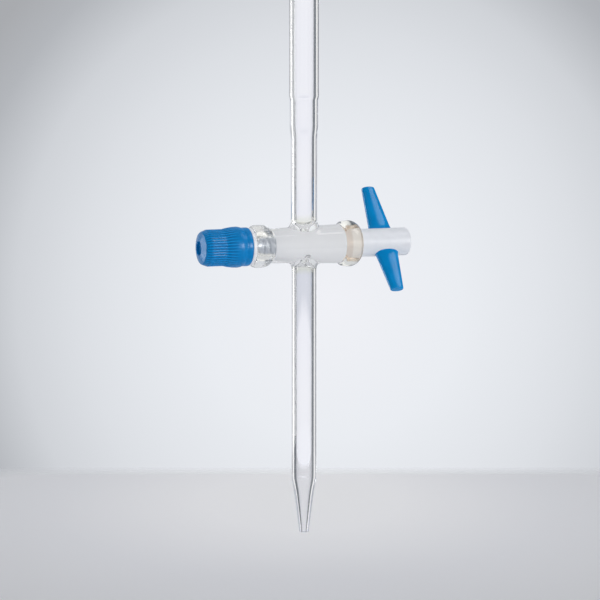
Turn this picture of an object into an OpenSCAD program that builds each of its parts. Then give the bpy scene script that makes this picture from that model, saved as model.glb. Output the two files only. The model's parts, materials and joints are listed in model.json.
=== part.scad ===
// Glass stopcock with a PTFE key: an upright glass tube with a tapered cross barrel and a drawn jet.
// A key with a T handle turns in the barrel, and a cap nut on its threaded tail draws it home.
// Millimetres. +Z is up, the key's axis is along X with the nut at -X, and the origin is the centre
// of the inlet tube's open top end. Stations along the key are measured from the tubes' axis.

/* [Inlet tube] */
// Length from the open top end down to the key's axis
inlet_len = 84; // [78:1:200]
// Outside diameter at the open end
inlet_od = 9.4; // [9:0.1:12]
// Bore at the open end
inlet_id = 6.3; // [3:0.1:7]
// Rounding of the fire-polished lip
lip_round = 0.4; // [0.1:0.05:0.4]
// Height of the fused seam above the key's axis
seam_rise = 48.7; // [44:0.1:60]
// Outside diameter of the stem under the seam
stem_od = 9.0; // [8.6:0.1:9.4]
// Bore of the stem under the seam
stem_id = 5.7; // [3:0.1:6]
// Height of the stem's neck above the key's axis
neck_rise = 36; // [20:1:40]
// Length over which the neck narrows
neck_len = 4; // [1:0.5:8]
// Outside diameter of the stem under its neck
foot_od = 8.4; // [7:0.1:8.6]
// Bore of the stem under its neck
foot_id = 5.2; // [3:0.1:5.5]

/* [Outlet tube] */
// Length of the straight tube below the key's axis
outlet_len = 75.5; // [30:0.5:150]
// Outside diameter of the outlet tube
outlet_od = 8.0; // [7:0.1:8.6]
// Bore of the outlet tube
outlet_id = 5.0; // [2.5:0.1:5.5]
// Length of the drawn jet
jet_len = 17.3; // [8:0.1:40]
// Outside diameter of the jet's tip
jet_od = 3.1; // [2:0.1:6]
// Bore of the jet's tip
jet_id = 1.2; // [0.6:0.1:1.8]

/* [Barrel] */
// Length of the barrel from the tubes' axis to its nut end
barrel_nut_len = 18.2; // [17:0.1:26]
// Length of the barrel from the tubes' axis to its handle end
barrel_mouth_len = 18.3; // [17.5:0.1:26]
// Outside diameter of the barrel beside the nut-end bead
barrel_nut_od = 10.9; // [10:0.1:11.5]
// Outside diameter of the barrel beside the handle-end bead
barrel_mouth_od = 12.5; // [12:0.1:13.5]
// Diameter over the nut-end bead
nut_bead_od = 13.6; // [12.6:0.1:15]
// Diameter over the handle-end bead
mouth_bead_od = 14.8; // [14:0.1:16]
// Length of each bead
bead_len = 6.1; // [5:0.1:6.5]
// Depth of the open mouth beyond the key's cone
mouth_depth = 5.9; // [4:0.1:7]
// Depth of the relieved bore round the tail
relief_len = 7; // [6:0.1:9]
// How far the ring of glass at each joint stands out from its tube
joint_proud = 0.55; // [0.2:0.05:0.7]
// Bore of the two ports through the barrel's wall
port_id = 2.2; // [1.2:0.1:2.4]

/* [Key] */
// Diameter of the key's cone at its small end
cone_small_od = 6.0; // [5.6:0.1:6.2]
// Length of cone that takes up one unit of diameter
cone_ratio = 10; // [9.5:0.5:14]
// Bore across the key
key_bore = 2.0; // [1:0.1:2.4]
// Clearance between the key's cone and its socket
cone_gap = 0.03; // [0.01:0.01:0.08]
// Diameter of the key's head
head_od = 9.0; // [8.4:0.1:9.6]
// Length of the head beyond the handle's middle
head_end = 8.1; // [6:0.1:14]
// Rounding of the head's end
head_round = 0.8; // [0.2:0.1:1.5]
// Major diameter of the threaded tail
tail_od = 5.2; // [4.6:0.1:5.4]
// Depth of the flat along the tail
tail_flat = 0.6; // [0.3:0.1:1]
// Step between the socket's small end and the relieved bore
relief_step = 0.07; // [0.05:0.01:0.3]

/* [Handle] */
// Length of the handle from tip to tip
handle_len = 39.2; // [28:0.1:60]
// How far the handle's middle lies off the key's axis
handle_offset = 1.4; // [0:0.1:3]
// Distance from the barrel's mouth to the handle's middle
handle_reach = 9.3; // [6:0.1:14]
// Width of each arm at the head
arm_root_w = 7.6; // [6.4:0.1:8.4]
// Thickness of each arm at the head
arm_root_t = 3.6; // [3.2:0.1:5]
// Width of each arm at its tip
arm_tip_w = 4.4; // [3:0.1:6]
// Thickness of each arm at its tip
arm_tip_t = 2.6; // [1.6:0.1:4]
// Width of the handle's core inside the head
core_w = 5.8; // [4:0.1:5.9]
// Thickness of the handle's core inside the head
core_t = 2.4; // [1.6:0.1:2.8]
// Turn of the handle away from the tubes' direction
handle_turn = 38; // [0:1:90]

/* [Washer and O-ring] */
// Diameter of the washer
washer_od = 12.0; // [10:0.1:12.4]
// Thickness of the washer
washer_t = 1.1; // [0.6:0.1:2]
// Thickness of the O-ring's cord
ring_cord = 1.8; // [1.2:0.1:2]
// Clearance of the washer, the O-ring and the nut round the tail
tail_gap = 0.08; // [0.05:0.01:0.1]
// Clearance between parts that are stacked along the key
stack_gap = 0.05; // [0.02:0.01:0.1]

/* [Cap nut] */
// Length of the nut
nut_len = 15.7; // [15.6:0.1:20]
// Diameter of the nut's smooth collar
collar_od = 12.3; // [11.8:0.1:12.6]
// Length of the collar
collar_len = 1.8; // [1.5:0.1:4]
// Diameter over the swelling behind the collar
swell_od = 13.0; // [12.7:0.1:14]
// Length of the swelling
swell_len = 5.6; // [4:0.1:6.5]
// Diameter over the ribs
rib_od = 11.7; // [11.4:0.1:12]
// Height of a rib
rib_height = 0.25; // [0.1:0.05:0.4]
// Number of ribs
rib_count = 40; // [24:1:48]
// Width of a rib
rib_w = 0.6; // [0.4:0.05:0.8]
// Diameter of the nut's flat face
face_od = 10.2; // [8.5:0.1:10.6]
// Diameter of the dimple in the face
dimple_od = 4.2; // [2:0.1:5]
// Depth of the dimple
dimple_depth = 1.2; // [0.3:0.1:1.5]
// Thickness of the nut's end wall behind the dimple
end_wall = 1.3; // [0.8:0.1:2]
// Width of the ring groove in the face
groove_w = 1.1; // [0.4:0.1:1.2]
// Depth of the ring groove in the face
groove_depth = 0.2; // [0.1:0.05:0.5]

/* [Hidden] */

$fn = 96;
past = 1; // overshoot of a cut
seam_half = 1.1; // half the height of the softened glass at the seam
seam_swell = 0.1; // how far the seam stands proud of the stem
joint_rise = 1.8; // how far each joining ring climbs its tube
joint_shoulder = 0.3; // height of the joining ring's shoulder below the barrel's crown
floor_t = 0.3; // glass over the crown of the barrel at the foot of each tube's bore
bore_taper = 1.3; // height of the funnel from a tube's bore to its port
nut_end_round = 1.2; // rounding of the nut-end bead's outer edge
bead_round = 1.9; // rounding of the other bead edges
mouth_run = 0.8; // socket length beyond the cone's large end, for the key to settle in
mouth_step = 0.1; // step from the socket's large end to the open mouth
cone_edge = 0.3; // chamfer on the cone's large end
tail_chamfer = 0.5; // chamfer on the tail's tip
nut_clear = 1.2; // room beyond the tail's tip in the nut
cord_gap = 0.1; // clearance outside the O-ring in the nut
rim_edge = 0.4; // chamfer of the nut's rim
oval_t = 0.01; // thickness of the plates that an arm is hulled from
tip_edge = 0.3; // rounding of an arm's tip
nut_chamfer = 1.4; // length over which the nut narrows from the foot of its ribs to its face
swell_sink = 0.05; // how far the swelling's end dips under the foot of the ribs
swell_steps = 8; // conical steps in the swelling's curve

key_z = -inlet_len;
cone_small_at = barrel_nut_len - relief_len; // small end of the key's cone, towards the nut
cone_large_at = barrel_mouth_len - mouth_depth; // large end of the key's cone, towards the handle
socket_at = cone_large_at + mouth_run; // large end of the socket
cone_large_r = cone_r(cone_large_at);
mouth_r = cone_r(socket_at) + cone_gap + mouth_step;
tail_r = tail_od / 2;
head_r = head_od / 2;
handle_at = barrel_mouth_len + handle_reach;
head_at = handle_at + head_end;
relief_r = cone_small_od / 2 + cone_gap + relief_step;
washer_at = barrel_nut_len + stack_gap; // face of the washer next to the glass
rim_at = washer_at + washer_t + stack_gap; // the nut's rim, and the O-ring's face on the washer
pocket_len = ring_cord + stack_gap; // depth of the nut's pocket for the O-ring
ring_r = tail_r + tail_gap + ring_cord / 2; // radius to the middle of the O-ring's cord
pocket_r = ring_r + ring_cord / 2 + cord_gap;
bore_r = tail_r + tail_gap; // the nut's and the washer's bore
nut_bore_len = nut_len - dimple_depth - end_wall;
tail_at = rim_at + nut_bore_len - nut_clear; // the tail's tip
rib_root_r = rib_od / 2 - rib_height;
barrel_mid_r = barrel_r(0);
floor_at = barrel_mid_r + floor_t; // floor of each tube's bore, from the key's axis

// Radius of the key's cone at a station along it
function cone_r(at) = cone_small_od / 2 + (at + cone_small_at) / cone_ratio;

// Outside radius of the barrel at a station, between its beads
function barrel_r(at) =
    let (from = -barrel_nut_len + bead_len, to = barrel_mouth_len - bead_len)
    (barrel_nut_od + (barrel_mouth_od - barrel_nut_od) * (at - from) / (to - from)) / 2;

// Puts what is drawn along +Z on the key's axis, pointing along +X
module along_key() { translate([0, 0, key_z]) rotate([0, 90, 0]) children(); }

// Turns what is drawn on the key's axis to where the handle points
module with_handle() {
    translate([0, 0, key_z]) rotate([-handle_turn, 0, 0]) children();
}

// A square with its outer corners rounded: r_in to r_out across, from to to along
module rounded_band(r_in, r_out, from, to, round_from, round_to) {
    translate([r_in, from]) square([r_out - round_from - r_in, round_from]);
    translate([r_in, from + round_from]) square([r_out - r_in, to - from - round_from - round_to]);
    translate([r_in, to - round_to]) square([r_out - round_to - r_in, round_to]);
    translate([r_out - round_from, from + round_from]) circle(r = round_from);
    translate([r_out - round_to, to - round_to]) circle(r = round_to);
}

// ---- Glass body ----

// The joining ring is drawn down into the barrel, where the two fuse
module inlet_outline() {
    polygon([
        [0, inlet_len],
        for (a = [90:-30:0]) [inlet_od / 2 - lip_round * (1 - cos(a)), inlet_len - lip_round * (1 - sin(a))],
        [inlet_od / 2, seam_rise + seam_half], [stem_od / 2, seam_rise + seam_half / 2],
        [stem_od / 2 + seam_swell, seam_rise], [stem_od / 2, seam_rise - seam_half],
        [stem_od / 2, neck_rise + neck_len / 2], [foot_od / 2, neck_rise - neck_len / 2],
        [foot_od / 2, barrel_mid_r + joint_rise], [foot_od / 2 + joint_proud, barrel_mid_r - joint_shoulder],
        [foot_od / 2 + joint_proud, barrel_mid_r / 2], [0, barrel_mid_r / 2]
    ]);
}

module inlet_bore() {
    polygon([
        [0, inlet_len + past], [inlet_id / 2, inlet_len + past],
        [inlet_id / 2, seam_rise + seam_half], [stem_id / 2, seam_rise - seam_half],
        [stem_id / 2, neck_rise + neck_len / 2], [foot_id / 2, neck_rise - neck_len / 2],
        [foot_id / 2, floor_at + bore_taper], [port_id / 2, floor_at], [port_id / 2, 0], [0, 0]
    ]);
}

module outlet_outline() {
    polygon([
        [0, -barrel_mid_r / 2], [outlet_od / 2 + joint_proud, -barrel_mid_r / 2],
        [outlet_od / 2 + joint_proud, joint_shoulder - barrel_mid_r],
        [outlet_od / 2, -barrel_mid_r - joint_rise], [outlet_od / 2, -outlet_len],
        [jet_od / 2, -outlet_len - jet_len], [0, -outlet_len - jet_len]
    ]);
}

module outlet_bore() {
    polygon([
        [0, 0], [port_id / 2, 0], [port_id / 2, -floor_at], [outlet_id / 2, -floor_at - bore_taper],
        [outlet_id / 2, -outlet_len], [jet_id / 2, -outlet_len - jet_len],
        [jet_id / 2, -outlet_len - jet_len - past], [0, -outlet_len - jet_len - past]
    ]);
}

module barrel_outline() {
    nut_bead_at = -barrel_nut_len + bead_len;
    mouth_bead_at = barrel_mouth_len - bead_len;
    polygon([
        [0, nut_bead_at - past], [barrel_nut_od / 2, nut_bead_at - past], [barrel_nut_od / 2, nut_bead_at],
        [barrel_mouth_od / 2, mouth_bead_at], [barrel_mouth_od / 2, mouth_bead_at + past],
        [0, mouth_bead_at + past]
    ]);
    rounded_band(0, nut_bead_od / 2, -barrel_nut_len, nut_bead_at, nut_end_round, bead_round);
    rounded_band(0, mouth_bead_od / 2, mouth_bead_at, barrel_mouth_len, bead_round, bead_round);
}

// The relief round the tail, the ground socket and the open mouth, as one cutter
module socket_outline() {
    polygon([
        [0, -barrel_nut_len - past], [relief_r, -barrel_nut_len - past], [relief_r, -cone_small_at],
        [cone_r(-cone_small_at) + cone_gap, -cone_small_at], [cone_r(socket_at) + cone_gap, socket_at],
        [mouth_r, socket_at], [mouth_r, barrel_mouth_len + past], [0, barrel_mouth_len + past]
    ]);
}

module glass_body() {
    color([0.88, 0.94, 0.95, 0.45]) difference() {
        union() {
            along_key() rotate_extrude() barrel_outline();
            translate([0, 0, key_z]) rotate_extrude() inlet_outline();
            translate([0, 0, key_z]) rotate_extrude() outlet_outline();
        }
        translate([0, 0, key_z]) rotate_extrude() inlet_bore();
        translate([0, 0, key_z]) rotate_extrude() outlet_bore();
        along_key() rotate_extrude() socket_outline();
    }
}

// ---- Key ----

module plug_outline() {
    polygon([
        [0, -tail_at], [tail_r - tail_chamfer, -tail_at], [tail_r, -tail_at + tail_chamfer],
        [tail_r, -cone_small_at], [cone_r(-cone_small_at), -cone_small_at],
        [cone_r(cone_large_at - cone_edge), cone_large_at - cone_edge],
        [cone_large_r - cone_edge, cone_large_at], [head_r, cone_large_at],
        [head_r, head_at - head_round], [0, head_at - head_round]
    ]);
    translate([0, head_at - head_round]) square([head_r - head_round, head_round]);
    intersection() {
        translate([head_r - head_round, head_at - head_round]) circle(r = head_round);
        translate([head_r - head_round, head_at - head_round]) square(head_round);
    }
}

// A bar with round edges, w wide along the key and t thick, centred on the handle's line
module core_bar(w, t, len) {
    for (side = [-1, 1])
        translate([side * (w - t) / 2, 0, -len / 2]) cylinder(d = t, h = len);
    translate([-(w - t) / 2, -t / 2, -len / 2]) cube([w - t, t, len]);
}

module plug() {
    color("white") difference() {
        along_key() rotate_extrude() plug_outline();
        with_handle() {
            translate([0, 0, -cone_large_r - past]) cylinder(d = key_bore, h = 2 * (cone_large_r + past));
            translate([handle_at, 0, 0]) core_bar(core_w, core_t, head_od + 2 * past);
            translate([-tail_at - past, tail_r - tail_flat, -tail_r])
                cube([tail_at - barrel_nut_len + past, tail_flat + past, 2 * tail_r]);
        }
    }
}

// ---- Handle ----

// A thin oval plate, w wide along the key and t thick, at a height up the handle
module oval(w, t, at) {
    translate([0, 0, at]) scale([w / 2, t / 2, 1]) cylinder(r = 1, h = oval_t, $fn = 48);
}

// One tapered arm of the handle along +Z, from inside the head to its tip
module arm(tip_at) {
    hull() {
        oval(arm_root_w, arm_root_t, head_r - arm_root_t / 3);
        oval(arm_tip_w, arm_tip_t, tip_at - tip_edge);
        oval(arm_tip_w - 2 * tip_edge, arm_tip_t - 2 * tip_edge, tip_at - oval_t);
    }
}

// The arms sit on the head's surface, and the core between them fills the slot through the head
module handle() {
    color("dodgerblue") with_handle() translate([handle_at, 0, 0]) {
        core_bar(core_w - 2 * stack_gap, core_t - 2 * stack_gap, head_od + arm_root_t / 2);
        difference() {
            union() {
                arm(handle_len / 2 + handle_offset);
                mirror([0, 0, 1]) arm(handle_len / 2 - handle_offset);
            }
            rotate([0, 90, 0]) cylinder(r = head_r + stack_gap, h = 2 * arm_root_w, center = true);
        }
    }
}

// ---- Washer and O-ring ----

// The washer's hole has the tail's flat, so that the washer turns with the key
module washer() {
    far_at = washer_at + washer_t + past;
    color("white") difference() {
        translate([-washer_at - washer_t, 0, key_z]) rotate([0, 90, 0]) cylinder(d = washer_od, h = washer_t);
        with_handle() intersection() {
            translate([-far_at, 0, 0]) rotate([0, 90, 0]) cylinder(r = bore_r, h = washer_t + 2 * past);
            translate([-far_at, -2 * bore_r, -2 * bore_r])
                cube([washer_t + 2 * past, 3 * bore_r - tail_flat, 4 * bore_r]);
        }
    }
}

module o_ring() {
    color([0.2, 0.14, 0.12]) translate([-rim_at - ring_cord / 2, 0, key_z]) rotate([0, 90, 0])
        rotate_extrude() translate([ring_r, 0]) circle(d = ring_cord);
}

// ---- Cap nut ----

// Radius along the nut's swelling, from the collar (share 0) to just under the foot of the ribs (share 1)
function swell_r(share) =
    let (base = collar_od / 2 * (1 - share) + (rib_root_r - swell_sink) * share)
    base + (swell_od / 2 - (collar_od / 2 + rib_root_r - swell_sink) / 2) * (1 - cos(360 * share)) / 2;

// The nut is drawn from its rim, along +Z to its face. This is its collar and swelling.
module nut_collar() {
    polygon([
        [0, 0], [collar_od / 2 - rim_edge, 0], [collar_od / 2, rim_edge],
        for (i = [0:swell_steps]) [swell_r(i / swell_steps), collar_len + swell_len * i / swell_steps],
        [0, collar_len + swell_len]
    ]);
}

// The ribbed body's section: half-round ribs on a round body
module rib_section() {
    circle(r = rib_root_r);
    for (i = [0:rib_count - 1]) rotate(360 * i / rib_count)
        translate([rib_root_r + rib_height - rib_w / 2, 0]) circle(d = rib_w);
}

// The ribbed body rises out of the swelling, and a cone trims it and its ribs down to the face
module ribbed_body() {
    from = collar_len + swell_len / 2;
    wide_r = rib_od / 2 + past;
    cone_len = nut_chamfer * (wide_r - face_od / 2) / (rib_root_r - face_od / 2);
    intersection() {
        translate([0, 0, from]) linear_extrude(nut_len + past - from) rib_section();
        rotate_extrude() polygon([
            [0, 0], [wide_r, 0], [wide_r, nut_len - cone_len], [face_od / 2, nut_len], [0, nut_len]
        ]);
    }
}

// The pocket for the O-ring and the threaded bore, at the thread's major diameter
module nut_cavity() {
    polygon([
        [0, -past], [pocket_r, -past], [pocket_r, pocket_len], [bore_r, pocket_len],
        [bore_r, nut_bore_len], [0, nut_bore_len]
    ]);
}

module cap_nut() {
    color("dodgerblue") translate([-rim_at, 0, key_z]) rotate([0, -90, 0]) difference() {
        union() {
            rotate_extrude() nut_collar();
            ribbed_body();
        }
        rotate_extrude() nut_cavity();
        translate([0, 0, nut_len - dimple_depth]) cylinder(d = dimple_od, h = dimple_depth + past);
        translate([0, 0, nut_len - groove_depth]) rotate_extrude()
            translate([(face_od + dimple_od) / 4 - groove_w / 2, 0]) square([groove_w, groove_depth + past]);
    }
}

glass_body();
plug();
handle();
washer();
o_ring();
cap_nut();
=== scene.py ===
# %% [markdown]
# # A glass stopcock with a PTFE key
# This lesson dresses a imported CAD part: an upright glass tube with a cross barrel and a drawn jet,
# a white key with a blue T handle, and a blue ribbed cap nut that draws the key home.
# The frame gives the real sizes and says what moves. Every visible piece is modelled here again
# with Blender's own tools, with the soft edges and surfaces that the real materials have.

# %% Load the frame
import json
from math import cos, pi, radians, sin

import bpy
import numpy as np
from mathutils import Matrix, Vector


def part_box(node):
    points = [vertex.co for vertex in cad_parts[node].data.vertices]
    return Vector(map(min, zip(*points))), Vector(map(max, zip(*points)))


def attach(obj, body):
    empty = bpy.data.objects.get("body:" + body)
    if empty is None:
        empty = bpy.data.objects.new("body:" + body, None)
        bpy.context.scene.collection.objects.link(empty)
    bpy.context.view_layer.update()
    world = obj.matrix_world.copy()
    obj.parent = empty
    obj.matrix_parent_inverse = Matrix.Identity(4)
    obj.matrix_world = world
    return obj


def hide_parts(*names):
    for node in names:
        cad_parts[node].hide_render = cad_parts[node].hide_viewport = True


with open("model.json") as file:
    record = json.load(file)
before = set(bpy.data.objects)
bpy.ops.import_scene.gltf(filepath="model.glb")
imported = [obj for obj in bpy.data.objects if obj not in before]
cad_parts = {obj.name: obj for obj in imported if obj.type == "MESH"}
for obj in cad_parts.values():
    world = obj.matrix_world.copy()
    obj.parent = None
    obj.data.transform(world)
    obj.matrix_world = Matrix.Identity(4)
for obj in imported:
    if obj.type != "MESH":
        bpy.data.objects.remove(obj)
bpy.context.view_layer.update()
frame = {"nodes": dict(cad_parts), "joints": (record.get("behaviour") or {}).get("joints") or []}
joints = {joint["name"]: joint for joint in frame["joints"]}
print("CAD nodes:", ", ".join(frame["nodes"]))

# %% [markdown]
# ## Working units
# The pieces are small, so they are modelled in millimetres around the point where the key's axis
# crosses the tubes' axis. A last step brings each piece to metres and moves it to its place. The
# places of the ends come from the frame, so that the two models can't drift apart.

# %% Units, places and small helpers
MM = 0.001
KEY_Z = joints["key_turn"]["pos_m"][2]


def reach(node):
    """Lowest and highest corner of a CAD node, in millimetres from the key's centre."""
    low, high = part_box(node)
    return (
        [low.x / MM, low.y / MM, (low.z - KEY_Z) / MM],
        [high.x / MM, high.y / MM, (high.z - KEY_Z) / MM],
    )


glass_low, glass_high = reach("glass_body")
plug_low, plug_high = reach("plug")
washer_low, washer_high = reach("washer")
ring_low, ring_high = reach("o_ring")
nut_low, nut_high = reach("cap_nut")
print(f"the key's axis lies {-KEY_Z / MM:.1f} mm under the open end")


def only(obj):
    """Selects one object alone and makes it the active one."""
    bpy.ops.object.select_all(action="DESELECT")
    obj.select_set(True)
    bpy.context.view_layer.objects.active = obj


def mode(name):
    bpy.ops.object.mode_set(mode=name)


def points_of(obj):
    """The mesh's vertices as an array with one row each."""
    places = np.empty(len(obj.data.vertices) * 3)
    obj.data.vertices.foreach_get("co", places)
    return places.reshape(-1, 3)


def move_points(obj, places):
    """Writes the vertices' new places back to the mesh."""
    obj.data.vertices.foreach_set("co", places.ravel())
    obj.data.update()


def select_points(obj, chosen):
    """Selects vertices in code: the choice is made in object mode and used in edit mode."""
    mode("OBJECT")
    for kind in (obj.data.polygons, obj.data.edges):
        kind.foreach_set("select", np.zeros(len(kind), bool))
    obj.data.vertices.foreach_set("select", np.asarray(chosen, bool))
    mode("EDIT")
    bpy.ops.mesh.select_mode(type="VERT")


def face_outward():
    """Recalculates the normals of the mesh that is being edited, and ends the editing."""
    bpy.ops.mesh.select_all(action="SELECT")
    bpy.ops.mesh.normals_make_consistent(inside=False)
    mode("OBJECT")


def settle(obj):
    """Writes a piece's turn, scale and place into its mesh."""
    only(obj)
    bpy.ops.object.transform_apply(location=True, rotation=True, scale=True)


def apply_modifier(obj, kind, **settings):
    """Adds a modifier with its settings and applies it."""
    only(obj)
    modifier = obj.modifiers.new(kind.lower(), kind)
    for name, value in settings.items():
        setattr(modifier, name, value)
    bpy.ops.object.modifier_apply(modifier=modifier.name)


def combine(obj, tool, operation):
    """Joins a tool to a piece or cuts it away, and throws the tool away."""
    apply_modifier(obj, "BOOLEAN", object=tool, operation=operation, solver="EXACT")
    bpy.data.objects.remove(tool)


# %% [markdown]
# ## Turning on a lathe
# Almost all of a stopcock is turned: the glass on a glass-blower's lathe, the key on a metal one.
# In Blender that is a Spin: a chain of points is drawn as half of the section and spun about the
# axis. The chain starts as a plane that is merged to one point, and each further point is
# extruded from the last. Doubled points where the circle closes are merged, and only then are
# the normals recalculated, because a spin can turn a mesh inside out.

# %% Turned shapes
MERGE = 0.0005
BODY_SIDES = 64
BORE_SIDES = 72
KEY_SIDES = 96
HOLE_SIDES = 48
CORE_SIDES = 24


def arc(centre, radius, start, end, steps):
    """Points on an arc, in (radius, along). Angles are in degrees, from the radius' direction."""
    angles = [radians(start + (end - start) * i / steps) for i in range(steps + 1)]
    return [(centre[0] + radius * cos(a), centre[1] + radius * sin(a)) for a in angles]


def flow(first, last, steps=8):
    """Points on a soft S-shaped run between two points of an outline."""
    points = []
    for i in range(steps + 1):
        share = i / steps
        eased = (1 - cos(pi * share)) / 2
        along = first[1] + (last[1] - first[1]) * share
        points.append((first[0] + (last[0] - first[0]) * eased, along))
    return points


def turned(name, outline, steps, closed=False):
    """Spins an outline of (radius, along) points about the Z axis into a mesh."""
    bpy.ops.object.select_all(action="DESELECT")
    bpy.ops.mesh.primitive_plane_add(size=1, location=(0, 0, 0))
    obj = bpy.context.object
    obj.name = name
    mode("EDIT")
    bpy.ops.mesh.select_all(action="SELECT")
    bpy.ops.mesh.merge(type="CENTER")
    bpy.ops.transform.translate(value=(outline[0][0], 0, outline[0][1]))
    for before, after in zip(outline, outline[1:]):
        step = (after[0] - before[0], 0, after[1] - before[1])
        bpy.ops.mesh.extrude_region_move(TRANSFORM_OT_translate={"value": step})
    if closed:
        count = len(outline)
        mode("OBJECT")
        select_points(obj, [i in (0, count - 1) for i in range(count)])
        bpy.ops.mesh.edge_face_add()
    bpy.ops.mesh.select_all(action="SELECT")
    bpy.ops.mesh.spin(steps=steps, angle=2 * pi, center=(0, 0, 0), axis=(0, 0, 1))
    bpy.ops.mesh.select_all(action="SELECT")
    bpy.ops.mesh.remove_doubles(threshold=MERGE)
    face_outward()
    return obj


def smooth(obj, sharpest):
    """Shades a piece smooth, but for edges that are sharper than an angle in degrees."""
    only(obj)
    bpy.ops.object.shade_smooth_by_angle(angle=radians(sharpest))


def lay_along_key(obj):
    """Turns what was drawn along +Z to lie along +X, the key's axis."""
    obj.rotation_euler = (0, pi / 2, 0)
    settle(obj)


def to_metres(obj):
    """Brings a finished piece from millimetres at the key's centre to its place in the frame."""
    obj.scale = (MM, MM, MM)
    obj.location = (0, 0, KEY_Z)
    settle(obj)


def report(obj):
    obj.data.calc_loop_triangles()
    size = [round(d / MM, 1) for d in obj.dimensions]
    print(f"{obj.name}: {len(obj.data.loop_triangles)} triangles, {size} mm")


# %% [markdown]
# ## Camera
# A catalogue picture of a stopcock is taken with a long lens, nearly level with the key, so that
# upright tubes stay parallel. A lens of 187.5 mm a metre away frames 192 mm. The camera stands a
# little to the nut's side, which shows the nut's face.

# %% Camera
VIEW_AZIMUTH = -22
VIEW_ELEVATION = 5.9
CAMERA_DISTANCE = 1.0
SENSOR = 36
LENS = 187.5
AIM_BELOW_KEY = 17.73
AIM_ASIDE = 1.28

around = radians(VIEW_AZIMUTH)
above = radians(VIEW_ELEVATION)
rightward = Vector((cos(around), sin(around), 0))
ahead = Vector((-sin(around), cos(around), 0))
backward = Vector((sin(around) * cos(above), -cos(around) * cos(above), sin(above)))
target = Vector((0, 0, KEY_Z - AIM_BELOW_KEY * MM)) - rightward * AIM_ASIDE * MM
bpy.ops.object.camera_add(location=target + backward * CAMERA_DISTANCE)
camera = bpy.context.object
camera.rotation_euler = backward.to_track_quat("Z", "Y").to_euler()
camera.data.sensor_width = SENSOR
camera.data.lens = LENS
camera.data.clip_start = 0.05
camera.data.clip_end = 20
bpy.context.scene.camera = camera
bpy.context.scene.view_settings.view_transform = "Standard"
print(f"camera at {VIEW_AZIMUTH} degrees, frame {SENSOR / LENS * CAMERA_DISTANCE:.3f} m wide")

# %% [markdown]
# ## Nodes and colours
# Every colour is written as an sRGB hex value, as a paint chart gives it, and turned to the linear
# light that the shaders work in. One small function adds a node with its settings and its links.

# %% Colour and node helpers
NOISE_LOW = 0.3
NOISE_HIGH = 0.7


def colour(code, alpha=1.0):
    """sRGB hex to linear RGBA."""
    parts = [int(code[i : i + 2], 16) / 255 for i in (0, 2, 4)]
    linear = [p / 12.92 if p <= 0.04045 else ((p + 0.055) / 1.055) ** 2.4 for p in parts]
    return (*linear, alpha)


def node(tree, kind, inputs=None, stops=None, **settings):
    """Adds a node. Inputs are plain values, (node, output) links, or nodes for output 0."""
    made = tree.nodes.new(kind)
    for name, value in settings.items():
        setattr(made, name, value)
    for name, value in (inputs or {}).items():
        if isinstance(value, bpy.types.Node):
            value = (value, 0)
        if isinstance(value, tuple) and isinstance(value[0], bpy.types.Node):
            tree.links.new(value[0].outputs[value[1]], made.inputs[name])
        else:
            made.inputs[name].default_value = value
    for i, (place, shade) in enumerate(stops or []):
        ramp = made.color_ramp.elements
        stop = ramp[i] if i < len(ramp) else ramp.new(place)
        stop.position = place
        stop.color = shade
    return made


def maths(tree, operation, *values):
    """A Math node."""
    return node(tree, "ShaderNodeMath", dict(enumerate(values)), operation=operation)


def vectors(tree, operation, *values):
    """A Vector Math node."""
    return node(tree, "ShaderNodeVectorMath", dict(enumerate(values)), operation=operation)


def spread(tree, value, start, end, onto=(0.0, 1.0)):
    """Maps the run of a value from start to end onto 0 to 1, or onto another run."""
    runs = {0: value, 1: start, 2: end, 3: onto[0], 4: onto[1]}
    return node(tree, "ShaderNodeMapRange", runs)


def ramp(tree, factor, stops):
    """A colour ramp, from stops of (place, sRGB hex)."""
    shades = [(place, colour(code)) for place, code in stops]
    return node(tree, "ShaderNodeValToRGB", {0: factor}, stops=shades)


def blend(tree, factor, one, other, **settings):
    """A mix of two colours, which is the node's output 2."""
    inputs = {0: factor, 6: one, 7: other}
    return node(tree, "ShaderNodeMix", inputs, data_type="RGBA", **settings)


def noise(tree, vector, grain, detail):
    """Noise with a grain in millimetres."""
    inputs = {"Vector": vector, "Scale": 1 / (grain * MM), "Detail": detail}
    return node(tree, "ShaderNodeTexNoise", inputs)


def bump(tree, height, strength, depth):
    """A bump with a depth in millimetres."""
    inputs = {"Height": height, "Strength": strength, "Distance": depth * MM}
    return node(tree, "ShaderNodeBump", inputs)


def material(name):
    """An empty node material."""
    made = bpy.data.materials.new(name)
    made.use_nodes = True
    made.node_tree.nodes.clear()
    return made


def show(tree, shader, output=0, kind="ShaderNodeOutputMaterial", **more):
    """Links a shader to the tree's output."""
    return node(tree, kind, inputs={"Surface": (shader, output), **more})


def cover(obj, made):
    """Gives a piece one material all over."""
    obj.data.materials.clear()
    obj.data.materials.append(made)


# %% [markdown]
# ## Backdrop
# A pale sweep with a soft pool of light behind the barrel is what makes clear glass readable: its
# rims bend the light in from the darker sides and draw themselves as grey lines. The world plays
# that sweep. What the camera sees is a pool that falls off to grey. What glass and gloss see has a
# few upright dark cards standing round the set, as a photographer sets them. All of it depends on
# the direction in the room alone, so it stays put when another camera looks.

# %% World
POOL_RIGHT = 0.55
POOL_DOWN = -5.9
POOL_REACH = 16.0
POOL_SQUASH = 0.95
PALE = "E4E6EB"
PLAIN_LIGHT = "F7F8FC"
LIGHT_LEVEL = 0.56

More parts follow.
